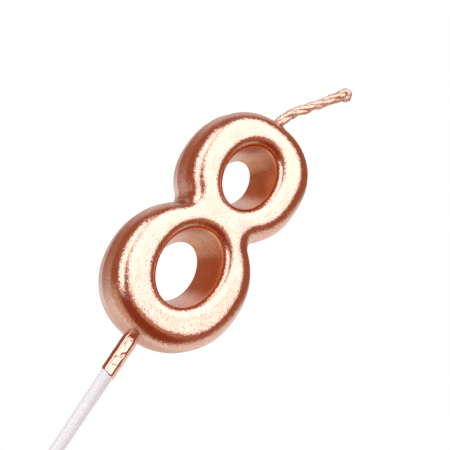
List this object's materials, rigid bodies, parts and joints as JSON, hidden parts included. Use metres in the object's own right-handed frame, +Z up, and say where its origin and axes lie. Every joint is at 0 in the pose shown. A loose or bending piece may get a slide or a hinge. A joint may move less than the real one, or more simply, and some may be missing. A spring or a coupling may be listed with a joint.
{
  "type": "number birthday candle",
  "caption": "Flat cast-wax candle in the shape of a figure eight, with a metallic lacquer coat, a cotton wick on top and a tapered plastic pick below that stands it in a cake.",
  "frame": {"origin": "on the pick's axis at the lower edge of its lacquer, where the cake's top surface comes", "axes": "+Z up along the pick to the wick, -Y out of the rounded front of the figure, +X to the right seen from the front"},
  "size_m": [0.0258, 0.0108, 0.1116],
  "materials": {
    "wax": "cast paraffin wax, matte, cream",
    "rose_gold_lacquer": "metallic rose-gold lacquer with fine flake, satin gloss",
    "white_plastic": "white translucent moulded plastic, semi-gloss",
    "lacquered_cotton": "twisted cotton soaked and stiffened with rose-gold lacquer, crumpled"
  },
  "bodies": {
    "root": {"wax_body": "wax", "lacquer_coat": "rose_gold_lacquer", "pick": "white_plastic", "pick_lacquer": "rose_gold_lacquer", "wick_strand_1": "lacquered_cotton", "wick_strand_2": "lacquered_cotton", "wick_strand_3": "lacquered_cotton"}
  },
  "joints": []
}
